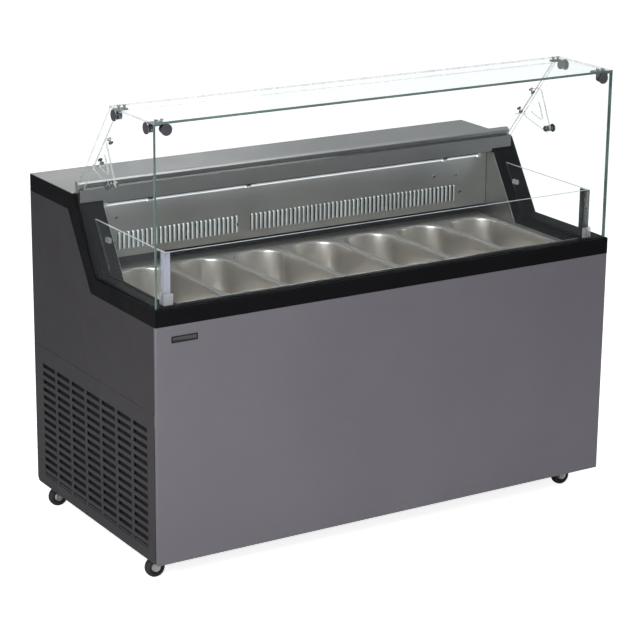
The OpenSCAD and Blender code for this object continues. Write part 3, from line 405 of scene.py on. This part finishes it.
MATERIALS = {
    "front": paint("paint_front", (0.122, 0.114, 0.132), 0.46, coat=0.05),
    # The sides and rear take a much darker copy of the front's paint: painted shade on the faces turned from
    # the key light.
    "side": paint("paint_side_shaded", (0.0365, 0.0335, 0.0370), 0.52, coat=0.0, specular=0.16),
    "trim": moulded("trim_black", (0.0032, 0.0032, 0.0040), 0.55, 900, 0.012, specular=0.07),
    "liner": brushed("liner_steel", (0.40, 0.40, 0.39), 0.32, "X", 0.07),
    "air": brushed("air_panel_steel", (0.54, 0.54, 0.53), 0.34, "X", 0.07),
    "fascia": brushed("fascia_steel", (0.325, 0.325, 0.322), 0.36, "X", 0.08),
    "worktop": brushed("worktop_steel", (0.36, 0.36, 0.355), 0.38, "X", 0.06),
    "rack": brushed("rack_steel", (0.17, 0.166, 0.160), 0.42, "X", 0.08, metallic=0.3),
    "pan": brushed("pan_steel", (0.66, 0.637, 0.605), 0.32, "Z", 0.05, fine=0.5),
    # Darker, less metallic copy of the pan steel for the rim and flange: painted shade.
    "pan_rim_shaded": brushed("pan_rim_steel_shaded", (0.215, 0.209, 0.200), 0.42, "X", 0.06, metallic=0.35),
    "pane": clear_sheet("pane_glass", (0.988, 0.997, 0.996), 0.006, 0.30),
    "side_pane": clear_sheet("side_pane_glass", (0.968, 0.985, 0.983), 0.006, 0.20),
    "pane_edge": sheet_edge("pane_edge", (0.105, 0.158, 0.148), 0.2),
    # Lighter, half-clear copy of the pane edge for the rear and top edges: the see-through share is real, the
    # lighter tone is painted light.
    "pane_edge_clear": clear_edge("pane_edge_clear", (0.36, 0.40, 0.39), 0.62),
    "acrylic": clear_sheet("acrylic", (0.994, 0.996, 0.997), 0.004, 0.30),
    # The acrylic edges glow: painted light.
    "acrylic_edge": sheet_edge("acrylic_edge", (0.34, 0.35, 0.38), 0.25, glow=0.12),
    # The flap edges glow: painted light.
    "flap_edge": clear_edge("flap_edge", (0.42, 0.41, 0.38), 0.30, glow=0.12),
    "fitting": clear_edge("shield_fitting", (0.52, 0.52, 0.56), 0.58),
    # Lit and shaded copies of one clear edge: the first glows with painted light, the second is painted
    # shade.
    "corner_painted_light": clear_edge("corner_painted_light", (0.50, 0.50, 0.60), 0.45, glow=0.12),
    "corner_painted_shade": clear_edge("corner_painted_shade", (0.018, 0.022, 0.023), 0.13),
    "hardware": brushed("hardware_steel", (0.19, 0.195, 0.205), 0.28, "Z", 0.1),
    "screw": brushed("screw_steel", (0.30, 0.30, 0.31), 0.25, "X", 0.1),
    "zinc": brushed("zinc_steel", (0.50, 0.50, 0.51), 0.34, "Z", 0.12),
    "galvanised": brushed("galvanised", (0.42, 0.43, 0.45), 0.48, "X", 0.16, fine=0.2),
    "fins": brushed("fin_aluminium", (0.72, 0.73, 0.74), 0.4, "Z", 0.1),
    "copper": brushed("copper", (0.72, 0.36, 0.22), 0.3, "X", 0.12),
    "plastic": moulded("plastic_black", (0.016, 0.016, 0.017), 0.45, 600, 0.12),
    "enamel": paint("compressor_enamel", (0.014, 0.014, 0.015), 0.22, coat=0.5),
    "sheet_black": paint("sheet_black", (0.022, 0.022, 0.023), 0.5),
    "foam": foam_block("foam", (0.70, 0.60, 0.36)),
    "rubber": rubber("wheel_rubber", (0.012, 0.012, 0.012)),
    "hub": moulded("hub_grey", (0.46, 0.46, 0.47), 0.4, 500, 0.08),
    "lamp": lamp_lens("lamp_lens", (0.92, 0.96, 1.0), seen=1.0, given=9.0),
    # Dark channel under the fascia: painted shade.
    "lamp_channel_painted_shade": moulded("lamp_channel_painted_shade", (0.03, 0.031, 0.032), 0.5, 800, 0.03, specular=0.2),
    "clip": moulded("clip_white", (0.62, 0.64, 0.66), 0.3, 800, 0.03),
    "badge": moulded("badge_black", (0.004, 0.004, 0.004), 0.3, 900, 0.02, specular=0.2),
    "badge_face": brushed("badge_face_steel", (0.085, 0.083, 0.088), 0.24, "X", 0.1),
    "switch": moulded("switch_green", (0.01, 0.16, 0.04), 0.25, 900, 0.03),
    # Light green-white lips in place of the air panel's steel: painted highlight.
    "vane_highlight": moulded("vane_painted_highlight", (0.66, 0.71, 0.70), 0.4, 700, 0.05),
    # Dark sheets behind the louvres: painted shade in the slots.
    "filter": moulded("filter_mat", (0.020, 0.018, 0.023), 0.95, 420, 0.6),
    # Dark line for the shade between parts: painted shade.
    "shade_line": rubber("painted_shade_line", (0.006, 0.006, 0.006)),
    "display": sheet_edge("display_window", (0.02, 0.004, 0.003), 0.05),
}


# ---------- carried-over CAD nodes ----------

# The frame's edge that shows through the lowest slots is in shade, so it takes the dark paint of the sides as
# painted shade.
NODES_BY_MATERIAL = {
    "side": ["base_frame", "left_side_panel", "left_louvre_panel", "right_side_panel", "right_louvre_panel",
             "rear_panel", "rear_grille"],
    "galvanised": ["frame_uprights"],
    "front": ["front_panel"],
    "trim": ["trim_front", "trim_left", "trim_right"],
    "foam": ["insulation"],
    "liner": ["well_floor", "well_front_wall", "well_rear_wall", "well_end_left", "well_end_right",
              "duct_top"],
    "rack": ["pan_rack"],
    "air": ["air_panel"],
    "worktop": ["worktop"],
    "fascia": ["fascia"],
    "fins": ["evaporator_coil", "condenser_coil"],
    "plastic": ["evaporator_fan_shroud", "evaporator_fan_left", "evaporator_fan_right", "condenser_fan",
                "control_box", "mains_inlet"],
    "hardware": ["glass_clamps", "pivot_bolts", "flap_screws"],
    "screw": ["screws"],
    "fitting": ["shield_fittings"],
    "enamel": ["compressor"],
    "sheet_black": ["condenser_shroud"],
    "copper": ["refrigerant_lines"],
    "switch": ["power_switch"],
    "zinc": ["caster_fork_" + corner for corner in CORNERS],
}

# Width of the rounded edges, in mm
NODES_BY_ROUNDING = {
    3.0: ["trim_front", "trim_left", "trim_right"],
    2.0: ["compressor"],
    0.8: ["worktop", "pan_rack", "base_frame", "pivot_bolts", "flap_screws", "shield_fittings"],
    0.7: ["glass_clamps"] + ["caster_fork_" + corner for corner in CORNERS],
    0.6: ["fascia", "frame_uprights", "control_box", "power_switch"],
    0.5: ["left_side_panel", "right_side_panel", "rear_panel", "well_end_left", "well_end_right",
          "screws", "mains_inlet"],
    0.4: ["front_panel", "air_panel"],
}


def round_edges(node, width):
    """Rounds a node's edges after its flat faces are each made one polygon again. width is in mm."""
    weld = node.modifiers.new("weld", "WELD")
    weld.merge_threshold = 0.02 * MM
    flat = node.modifiers.new("flat", "DECIMATE")
    flat.decimate_type = "DISSOLVE"
    flat.angle_limit = math.radians(1.0)
    bevel = node.modifiers.new("bevel", "BEVEL")
    bevel.width = width * MM
    bevel.segments = 3 if width >= 2 else 2
    bevel.limit_method = "ANGLE"
    bevel.angle_limit = math.radians(40)
    bevel.harden_normals = True


def dress_cad_nodes():
    """Gives the nodes that keep their CAD shape their materials and rounded edges."""
    for key, names in NODES_BY_MATERIAL.items():
        for name in names:
            slots = NODES[name].data.materials
            slots.clear()
            slots.append(MATERIALS[key])
    for width, names in NODES_BY_ROUNDING.items():
        for name in names:
            round_edges(NODES[name], width)


dress_cad_nodes()


# ---------- clear sheets ----------

def dress_sheet(name, face_key, edge_key, wide):
    """Faces across the wide directions take the clear material, narrow edges the edge material."""
    mesh = NODES[name].data
    mesh.materials.clear()
    mesh.materials.append(MATERIALS[face_key])
    mesh.materials.append(MATERIALS[edge_key])
    for polygon in mesh.polygons:
        clear = any(abs(polygon.normal.dot(direction)) > 0.95 for direction in wide)
        polygon.material_index = 0 if clear else 1


def dress_edges(name, picks):
    """Gives single edges of a sheet a look of their own.

    picks holds (direction, material, side): side is -1 for what is left of the middle, 1 for what is right of
    it, and 0 for all.
    """
    mesh = NODES[name].data
    for direction, key, side in picks:
        index = len(mesh.materials)
        mesh.materials.append(MATERIALS[key])
        for polygon in mesh.polygons:
            if polygon.normal.dot(direction) > 0.7 and polygon.center.x * side >= 0:
                polygon.material_index = index


def dress_sheets():
    """Panes, shield and flap: clear faces, and edges that differ with the light behind them, as painted light
    and painted shade.
    """
    x, y, z = Vector((1, 0, 0)), Vector((0, 1, 0)), Vector((0, 0, 1))
    across_flap = max(NODES["rear_flap"].data.polygons, key=lambda face: face.area).normal.copy()
    along_flap = x.cross(across_flap)
    foot = -along_flap if along_flap.z > 0 else along_flap
    for name, face_key, edge_key, wide in (
            ("glass_left", "side_pane", "pane_edge", [x]), ("glass_right", "side_pane", "pane_edge", [x]),
            ("glass_front", "pane", "pane_edge", [y]), ("glass_top", "pane", "pane_edge", [z]),
            ("shield_front", "acrylic", "acrylic_edge", [y]),
            ("shield_sides", "acrylic", "acrylic_edge", [x]),
            ("rear_flap", "acrylic", "flap_edge", [across_flap]),
            ("flap_brackets", "acrylic", "flap_edge", [x, across_flap])):
        dress_sheet(name, face_key, edge_key, wide)
    clear, bright, dark = "pane_edge_clear", "corner_painted_light", "corner_painted_shade"
    # The panes' rear and top edges see through, with a lighter tone that is painted light.
    for name in ("glass_left", "glass_right"):
        dress_edges(name, [((y + z).normalized(), clear, 0), (z, clear, 0), (y, clear, 0)])
    dress_edges("glass_top", [(y, clear, 0), (x, clear, 0), (-x, clear, 0)])
    # Painted light on the shield's left front edges, painted shade on its right front edges and its bottom
    # edges.
    dress_edges("shield_sides", [(-y, bright, -1), (-y, dark, 1), (-z, dark, 0)])
    dress_edges("shield_front", [(-x, bright, -1), (x, dark, 1), (-z, dark, 0)])
    # The fascia's upward faces take the dark line: painted shade under the worktop's front lip.
    dress_edges("fascia", [(z, "shade_line", 0)])
    # The flap's foot edge is painted shade, and its top edge takes the half-clear pane edge, whose lighter
    # tone is painted light.
    dress_edges("rear_flap", [(foot, dark, 0), (-foot, clear, 0)])


dress_sheets()


def make_shield_corners():
    """Clear corner profile inside both front corners of the shield, from the deck to the top edge; the left
    one is painted light and the right one painted shade.
    """
    low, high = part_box("shield_front")
    side_leg, front_leg, wall = 24 * MM, 12 * MM, 3 * MM
    corner_inset, end_gap = 6 * MM, 0.5 * MM
    outline = [(0, 0), (front_leg, 0), (front_leg, wall), (wall, wall), (wall, side_leg), (0, side_leg)]
    for side, side_name, key in ((-1, "left", "corner_painted_light"), (1, "right", "corner_painted_shade")):
        corner_x = side * (high.x - corner_inset)
        bm = bmesh.new()
        add_loops(bm, [[Vector((corner_x - side * u, high.y + v, z)) for u, v in outline]
                       for z in (low.z + end_gap, high.z - end_gap)])
        new_piece("shield_corner_" + side_name, bm, [MATERIALS[key]], smooth=False)


make_shield_corners()


# ---------- pans ----------

# Inset of the flange's inner edge, in mm
PAN_FLANGE = 4.6


def pan_section(depth):
    """Inner face of a pan as (inset from the outer edge, drop), in mm: rolled rim, wall, bottom edge."""
    rim = [(0.5, 2.6), (0.0, 1.9), (0.0, 0.7), (0.6, 0.1), (1.4, 0.0), (PAN_FLANGE, 0.0), (6.0, 0.4),
           (7.2, 1.6), (7.9, 3.4), (8.2, 6.0)]
    wall_top_inset, wall_top = rim[-1]
    taper, bottom_gap, bottom_radius, bottom_steps = 1.6, 20, 18.5, 8
    wall_end = depth - bottom_gap
    wall = [(wall_top_inset + taper * s, wall_top + (wall_end - wall_top) * s)
            for s in (0.25, 0.5, 0.75, 1.0)]
    bottom = []
    for step in range(1, bottom_steps + 1):
        a = math.radians(90 * step / bottom_steps)
        inset = wall_top_inset + taper + bottom_radius * (1 - math.cos(a))
        bottom.append((inset, wall_end + bottom_radius * math.sin(a)))
    return rim + wall + bottom


def make_pan(k):
    """Deep drawn pan: square-cornered rolled rim, round-ended tapering walls and a wide bottom radius.

    Corners, thicknesses, insets and drops are in mm.
    """
    low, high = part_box(f"pan_{k}")
    centre = (low + high) / 2
    half_x, half_y = (high.x - low.x) / 2, (high.y - low.y) / 2
    depth = high.z - low.z
    rim_corner, wall_corner, corner_growth, corner_steps = 16, 64, 0.4, 12
    wall_thickness, bottom_thickness = 1.0, 1.2
    outer_from_inset, outer_from_drop, corner_slack = 7, 3, 0.1
    shaded_rim_zone = 3 * MM
    inner = pan_section(depth / MM)
    outer = [(inset - wall_thickness if inset > outer_from_inset else inset, drop + bottom_thickness)
             for inset, drop in reversed(inner) if drop > outer_from_drop]

    def ring(inset, drop):
        widest = half_x / MM - inset - corner_slack
        corner = rim_corner if inset < PAN_FLANGE else min(wall_corner + corner_growth * inset, widest)
        points = rounded_rectangle(half_x - inset * MM, half_y - inset * MM, corner * MM, corner_steps)
        return [Vector((centre.x + x, centre.y + y, high.z - min(drop * MM, depth))) for x, y in points]

    bm = bmesh.new()
    add_loops(bm, [ring(inset, drop) for inset, drop in inner], close_first=False)
    add_loops(bm, [ring(inset, drop) for inset, drop in outer], close_last=False)
    # The top 3 mm, rim and flange, takes the darker pan steel: painted shade.
    for face in bm.faces:
        face.material_index = 1 if face.calc_center_median().z > high.z - shaded_rim_zone else 0
    looks = [MATERIALS["pan"], MATERIALS["pan_rim_shaded"]]
    piece = new_piece(f"pan_{k}_drawn", bm, looks, f"pan_body_{k}")
    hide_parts(f"pan_{k}")


for k in PANS:
    make_pan(k)


# ---------- louvres ----------

LOUVRE_COLUMNS, LOUVRE_ROWS = 7, 15
COLUMN_PITCH, ROW_PITCH = 83.5 * MM, 21.2 * MM
SLOT_LENGTH, SLOT_HEIGHT, LOWEST_SLOT = 72 * MM, 11 * MM, 28 * MM


def add_fold(bm, root, along, inward, down):
    """Pressed lip: a curved fold that starts at root, runs along one axis and curls inwards and down."""
    thickness, steps, bend = 1.0 * MM, 4, math.radians(75)
    curve = []
    for k in range(steps + 1):
        a = bend * k / steps
        curve.append(root + inward * math.sin(a) + down * (1 - math.cos(a)))
    section = curve + [point + down.normalized() * thickness for point in reversed(curve)]
    add_loops(bm, [section, [point + along for point in section]])


def make_louvres(node, middle, along, inward):
    """Curled lips above every slot of a louvred cover. middle is on its inner face, at the middle column."""
    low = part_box(node)[0]
    lip_depth, lip_drop = 7 * MM, 9 * MM
    bm = bmesh.new()
    for column in range(LOUVRE_COLUMNS):
        start = (column - (LOUVRE_COLUMNS - 1) / 2) * COLUMN_PITCH - SLOT_LENGTH / 2
        for row in range(LOUVRE_ROWS):
            root = middle + along * start
            root.z = low.z + LOWEST_SLOT + row * ROW_PITCH + SLOT_HEIGHT
            add_fold(bm, root, along * SLOT_LENGTH, inward * lip_depth, Vector((0, 0, -lip_drop)))
    new_piece(node + "_lips", bm, [MATERIALS["side"]])


def make_all_louvres():
    """Lips of the two side covers and of the rear grille, and a dark sheet behind each of the three: painted
    shade that darkens the slots.
    """
    shade_near, shade_far = 14 * MM, 18 * MM
    shade_margin, shade_top_margin = 34 * MM, 30 * MM
    shade_sheets = bmesh.new()
    for node, side in (("left_louvre_panel", -1), ("right_louvre_panel", 1)):
        low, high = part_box(node)
        inner_x = high.x if side < 0 else low.x
        make_louvres(node, Vector((inner_x, 0, 0)), Vector((0, 1, 0)), Vector((-side, 0, 0)))
        shade_x = sorted((inner_x - side * shade_near, inner_x - side * shade_far))
        add_box(shade_sheets, (shade_x[0], low.y + shade_margin, low.z + shade_margin),
                (shade_x[1], high.y - shade_margin, high.z - shade_top_margin))
    low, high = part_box("rear_grille")
    grille_middle, shade_half = -60 * MM, 320 * MM
    make_louvres("rear_grille", Vector((grille_middle, low.y, 0)), Vector((1, 0, 0)), Vector((0, -1, 0)))
    add_box(shade_sheets, (grille_middle - shade_half, low.y - shade_far, low.z + shade_margin),
            (grille_middle + shade_half, low.y - shade_near, high.z - shade_top_margin))
    new_piece("filter_mats", shade_sheets, [MATERIALS["filter"]], smooth=False)


make_all_louvres()


# ---------- air panel ----------

VANE_PITCH, VANE_WIDTH = 12.9 * MM, 8.6 * MM


def vane_section(right, face_y, grow):
    """Thin round lip beside a slot, as (x, y) points. grow, from 0 to 1, raises it out of the face."""
    reach, out, inner_share = 0.78 * VANE_WIDTH, 3.6 * MM, 0.76
    least, bend, lean, steps = 0.12, math.radians(100), 0.9, 6
    points = []
    for share, turns in ((1.0, range(steps + 1)), (inner_share, range(steps, -1, -1))):
        for n in turns:
            a = bend * n / steps
            x = right - reach * share * math.sin(a * lean)
            points.append((x, face_y - out * share * (least + grow * math.sin(a) * (1 - least))))
    return points


def make_vanes():
    """Pressed half-round lip beside each slot of the air panel, standing out of its face."""
    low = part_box("air_panel")[0]
    slot_low, slot_high, end_slope = low.z + 20 * MM, low.z + 64 * MM, 3 * MM
    heights = ((slot_low, 0.0), (slot_low + end_slope, 1.0), (slot_high - end_slope, 1.0), (slot_high, 0.0))
    bm = bmesh.new()
    for start, count in ((-534 * MM, 27), (-153 * MM, 50)):
        for k in range(count):
            right = start + k * VANE_PITCH + VANE_WIDTH / 2
            add_loops(bm, [[Vector((x, y, z)) for x, y in vane_section(right, low.y, grow)]
                           for z, grow in heights])
    # The lips take the light vane look: painted highlight on pressed steel.
    new_piece("air_panel_vanes", bm, [MATERIALS["vane_highlight"]])


make_vanes()


def make_panel_shade_lines():
    """Painted shade line near both ends of the air panel, where it meets the end lining: a thin dark bead for
    the shade in that corner.
    """
    low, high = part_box("air_panel")
    shade_line_x, half, raised, end_gap = 588 * MM, 1.1 * MM, 0.3 * MM, 4 * MM
    shade_section = [(-half, 0.0), (half, 0.0), (half * 0.6, -raised), (-half * 0.6, -raised)]
    bm = bmesh.new()
    for side in (-1, 1):
        add_loops(bm, [[Vector((side * shade_line_x + u, low.y + v, z)) for u, v in shade_section]
                       for z in (low.z + end_gap, high.z - end_gap)])
    new_piece("air_panel_shade_lines", bm, [MATERIALS["shade_line"]], smooth=False)


make_panel_shade_lines()


# ---------- lamp ----------

def make_lamp():
    """Slim lamp: a channel under the fascia whose dark is painted shade, white holder with an opal lens, end
    caps and three clips.
    """
    low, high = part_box("led_light")
    y, half = (low.y + high.y) / 2, (high.y - low.y) / 2
    cap, lens_z, channel_z = 9 * MM, low.z + 5.5 * MM, low.z + 9 * MM
    lens_half, lens_drop = 3.0 * MM, 3.8 * MM
    clip_half = 7 * MM
    shade_channel_index, lens_index, white_index = 0, 1, 2
    clip = [(-5.0, 13.5), (-5.0, 3.5), (-3.4, 1.2), (0, 0.2), (3.4, 1.2), (5.0, 3.5), (5.0, 13.5),
            (4.2, 13.5), (4.2, 4.0), (2.8, 2.1), (0, 1.2), (-2.8, 2.1), (-4.2, 4.0), (-4.2, 13.5)]
    lens = [(math.cos(math.radians(a)), math.sin(math.radians(a))) for a in range(180, 361, 20)]
    bm = bmesh.new()
    add_box(bm, (low.x + cap, y - half, lens_z), (high.x - cap, y + half, channel_z), white_index)
    add_box(bm, (low.x + cap, y - half, channel_z), (high.x - cap, y + half, high.z), shade_channel_index)
    add_loops(bm, [[Vector((x, y + lens_half * u, lens_z + lens_drop * v)) for u, v in lens]
                   for x in (low.x + cap, high.x - cap)], material_index=lens_index)
    for x in (low.x, high.x - cap):
        add_box(bm, (x, y - half, low.z), (x + cap, y + half, high.z), white_index)
    for middle in (-452 * MM, -170 * MM, 440 * MM):
        add_loops(bm, [[Vector((x, y + u * MM, low.z + v * MM)) for u, v in clip]
                       for x in (middle - clip_half, middle + clip_half)], material_index=white_index)
    looks = [MATERIALS["lamp_channel_painted_shade"], MATERIALS["lamp"], MATERIALS["clip"]]
    piece = new_piece("lamp_drawn", bm, looks)
    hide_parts("led_light")


make_lamp()


# ---------- badge ----------

def make_badge():
    """Blank plate: a dark raised frame around a brushed face."""
    low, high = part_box("badge")
    centre = Vector(((low.x + high.x) / 2, high.y, (low.z + high.z) / 2))
    thick, corner = high.y - low.y, 1.5 * MM
    edge, frame_width, slope, recess = 0.3 * MM, 2.4 * MM, 0.6 * MM, 0.5 * MM
    profile = [(0, 0), (0, thick - edge), (edge, thick), (frame_width, thick),
               (frame_width + slope, thick - recess)]
    bm = bmesh.new()
    add_plate(bm, centre, (high.x - low.x) / 2, (high.z - low.z) / 2, profile, -1, corner)
    caps = [face for face in bm.faces if len(face.verts) > 4]
    min(caps, key=lambda face: face.calc_center_median().y).material_index = 1
    looks = [MATERIALS["badge"], MATERIALS["badge_face"]]
    piece = new_piece("badge_blank", bm, looks)
    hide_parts("badge")


make_badge()


# ---------- controller ----------

def make_controller_face():
    """Display window and four blank keys on the controller at the rear."""
    low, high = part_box("control_box")
    keypad_y = 332 * MM
    left, middle_z = low.x + 20 * MM, (low.z + high.z) / 2 + 2.5 * MM
    window_x, window_half_x, window_half_z, window_corner = 38 * MM, 14 * MM, 7 * MM, 1.5 * MM
    key_half_x, key_half_z, key_corner = 3.2 * MM, 2.6 * MM, 1.2 * MM
    window = [(0, 0), (0, 0.4 * MM), (0.4 * MM, 0.7 * MM)]
    key = [(0, 0), (0, 0.5 * MM), (0.5 * MM, 0.9 * MM)]
    bm = bmesh.new()
    at = Vector((left + window_x, keypad_y, middle_z))
    add_plate(bm, at, window_half_x, window_half_z, window, 1, window_corner)
    new_piece("controller_window", bm, [MATERIALS["display"]])
    bm = bmesh.new()
    for key_x in (7 * MM, 16 * MM):
        for key_z in (-4 * MM, 4 * MM):
            at = Vector((left + key_x, keypad_y, middle_z + key_z))
            add_plate(bm, at, key_half_x, key_half_z, key, 1, key_corner)
    new_piece("controller_keys", bm, [MATERIALS["clip"]])


make_controller_face()


# ---------- casters ----------

def make_wheel(corner):
    """Rubber tyre with a round tread on a grey hub with a recessed web and a raised boss round the axle."""
    node = "caster_wheel_" + corner
    low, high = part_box(node)
    centre = (low + high) / 2
    radius, half_width, tyre_inner = (high.z - low.z) / 2, 10 * MM, 12.5 * MM
    tread = [(0.68, 1.0), (0.80, 1.0), (0.88, 0.97), (0.945, 0.84), (0.98, 0.62), (1.0, 0.3)]
    tread = [(r * radius, h * half_width) for r, h in tread]
    web = [(4.06, 11), (9.2, 11), (9.8, 10.4), (10, 6.5), (10.8, 5.4), (14.5, 5.2), (15.6, 6.0), (16, 9.4),
           (16.6, 9.9), (17.1, 9.9)]
    web = [(r * MM, h * MM) for r, h in web]
    bm = bmesh.new()
    for half_section in (tread, web):
        add_turned(bm, half_section + [(r, -h) for r, h in reversed(half_section)], centre)
    for face in bm.faces:
        middle = face.calc_center_median() - centre
        face.material_index = 0 if math.hypot(middle.x, middle.z) > tyre_inner else 1
    looks = [MATERIALS["rubber"], MATERIALS["hub"]]
    piece = new_piece(node + "_tyred", bm, looks, "wheel_" + corner)
    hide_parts(node)


for corner in CORNERS:
    make_wheel(corner)


# ---------- studio ----------

def make_world():
    """White surround for the camera, and dimmer ones for what the object mirrors and is lit by."""
    white, cool = (1, 1, 1), (0.95, 0.97, 1.0)
    lit, mirrored, seen = (0.26, cool), (0.5, cool), (1.0, white)
    world = bpy.data.worlds.new("studio")
    world.use_nodes = True
    bpy.context.scene.world = world
    nodes, links = world.node_tree.nodes, world.node_tree.links
    path = nodes.new("ShaderNodeLightPath")

    def background(strength, color):
        node = nodes.new("ShaderNodeBackground")
        node.inputs["Color"].default_value = opaque(color)
        node.inputs["Strength"].default_value = strength
        return node.outputs["Background"]

    shader = background(*lit)
    for look, ray in ((mirrored, "Is Glossy Ray"), (seen, "Is Camera Ray")):
        mix = nodes.new("ShaderNodeMixShader")
        links.new(path.outputs[ray], mix.inputs["Fac"])
        links.new(shader, mix.inputs[1])
        links.new(background(*look), mix.inputs[2])
        shader = mix.outputs["Shader"]
    links.new(shader, nodes["World Output"].inputs["Surface"])


def make_floor():
    """Large pale square under the casters."""
    reach = 14.0
    mesh = bpy.data.meshes.new("floor")
    square = [(-reach, -reach, 0), (reach, -reach, 0), (reach, reach, 0), (-reach, reach, 0)]
    mesh.from_pydata(square, [], [(0, 1, 2, 3)])
    mesh.materials.append(floor_pale("floor_pale"))
    floor = bpy.data.objects.new("floor", mesh)
    bpy.context.scene.collection.objects.link(floor)


def area_light(name, at, target, size, power):
    """White soft box. power is in watts."""
    data = bpy.data.lights.new(name, "AREA")
    data.shape = "RECTANGLE"
    data.size, data.size_y = size
    data.energy = power
    light = bpy.data.objects.new(name, data)
    light.location = at
    light.rotation_euler = (Vector(target) - Vector(at)).to_track_quat("-Z", "Y").to_euler()
    bpy.context.scene.collection.objects.link(light)


def make_studio():
    """Key light from the front left, one from above and a weak one from behind, all aimed at the cabinet."""
    bpy.context.scene.view_settings.view_transform = "Standard"
    make_world()
    make_floor()
    area_light("key", (-2.4, -2.3, 1.95), (-0.4, 0, 0.45), (1.4, 1.4), 94)
    area_light("top", (0.3, -0.4, 3.2), (0, 0, 0.7), (2.2, 1.6), 52)
    area_light("rear", (0.7, 2.7, 1.85), (-0.6, 0.2, 0.88), (1.2, 1.3), 2.6)


make_studio()
